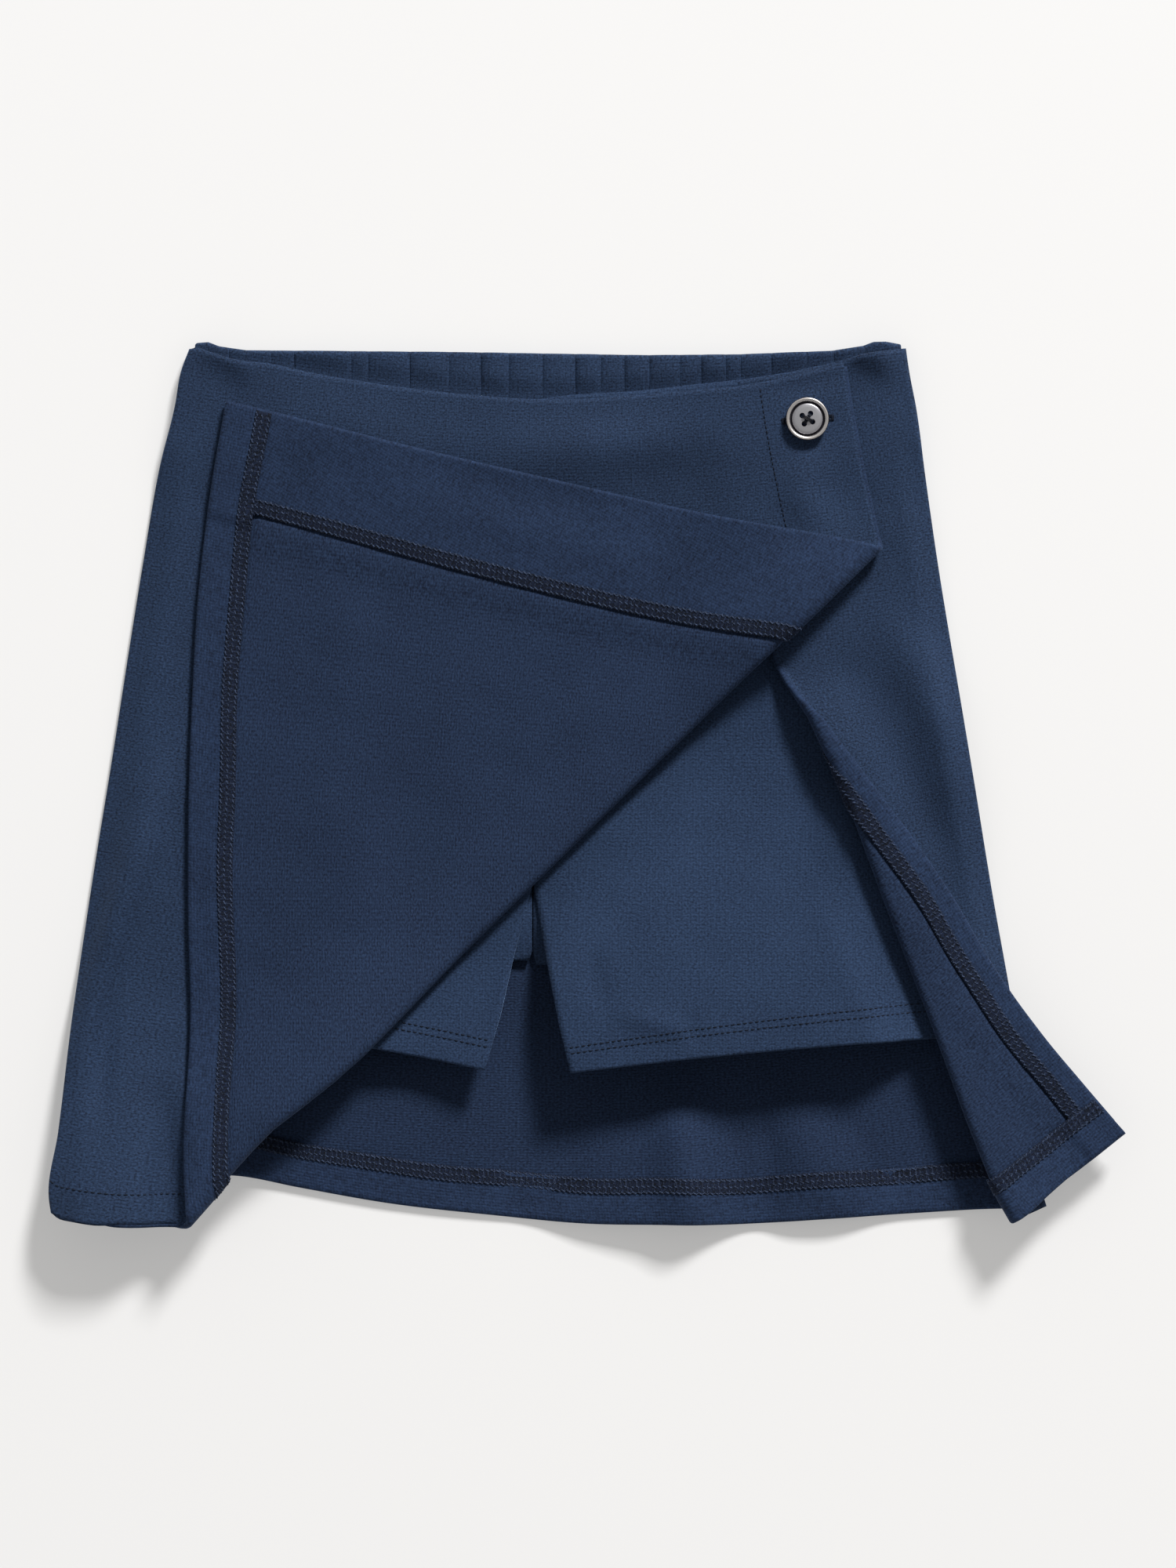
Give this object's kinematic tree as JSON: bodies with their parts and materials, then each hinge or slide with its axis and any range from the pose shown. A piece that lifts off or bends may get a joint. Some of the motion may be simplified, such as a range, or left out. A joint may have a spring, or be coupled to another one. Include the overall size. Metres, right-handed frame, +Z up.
{
  "type": "skort",
  "caption": "Wrap-front knit skort laid flat: elastic back waist, inner shorts, buttoned over panel with its lower corner folded back.",
  "frame": {"origin": "middle of the skort's flat outline, on the surface that it lies on", "axes": "+X across the skort to the viewer's right, +Y along it towards the waist, +Z up out of the surface"},
  "size_m": [0.4107, 0.3388, 0.0206],
  "materials": {
    "skirt_knit": "navy double knit, right side, fine cross ribs",
    "skirt_knit_inside": "navy double knit, turned edges with overlocked borders",
    "shorts_jersey": "navy single jersey, matte",
    "button_metal": "antique silver plating with darkened recesses",
    "sewing_thread": "dark navy polyester thread"
  },
  "bodies": {
    "root": {"back_panel": "skirt_knit", "back_hem": "skirt_knit_inside", "back_waistband": "skirt_knit", "under_panel": "skirt_knit", "under_facing": "skirt_knit_inside", "under_hem": "skirt_knit_inside", "over_panel": "skirt_knit", "over_facing": "skirt_knit_inside", "over_hem": "skirt_knit_inside", "shorts_back_left": "shorts_jersey", "shorts_back_right": "shorts_jersey", "shorts_front_left": "shorts_jersey", "shorts_front_right": "shorts_jersey", "button": "button_metal"}
  },
  "joints": []
}
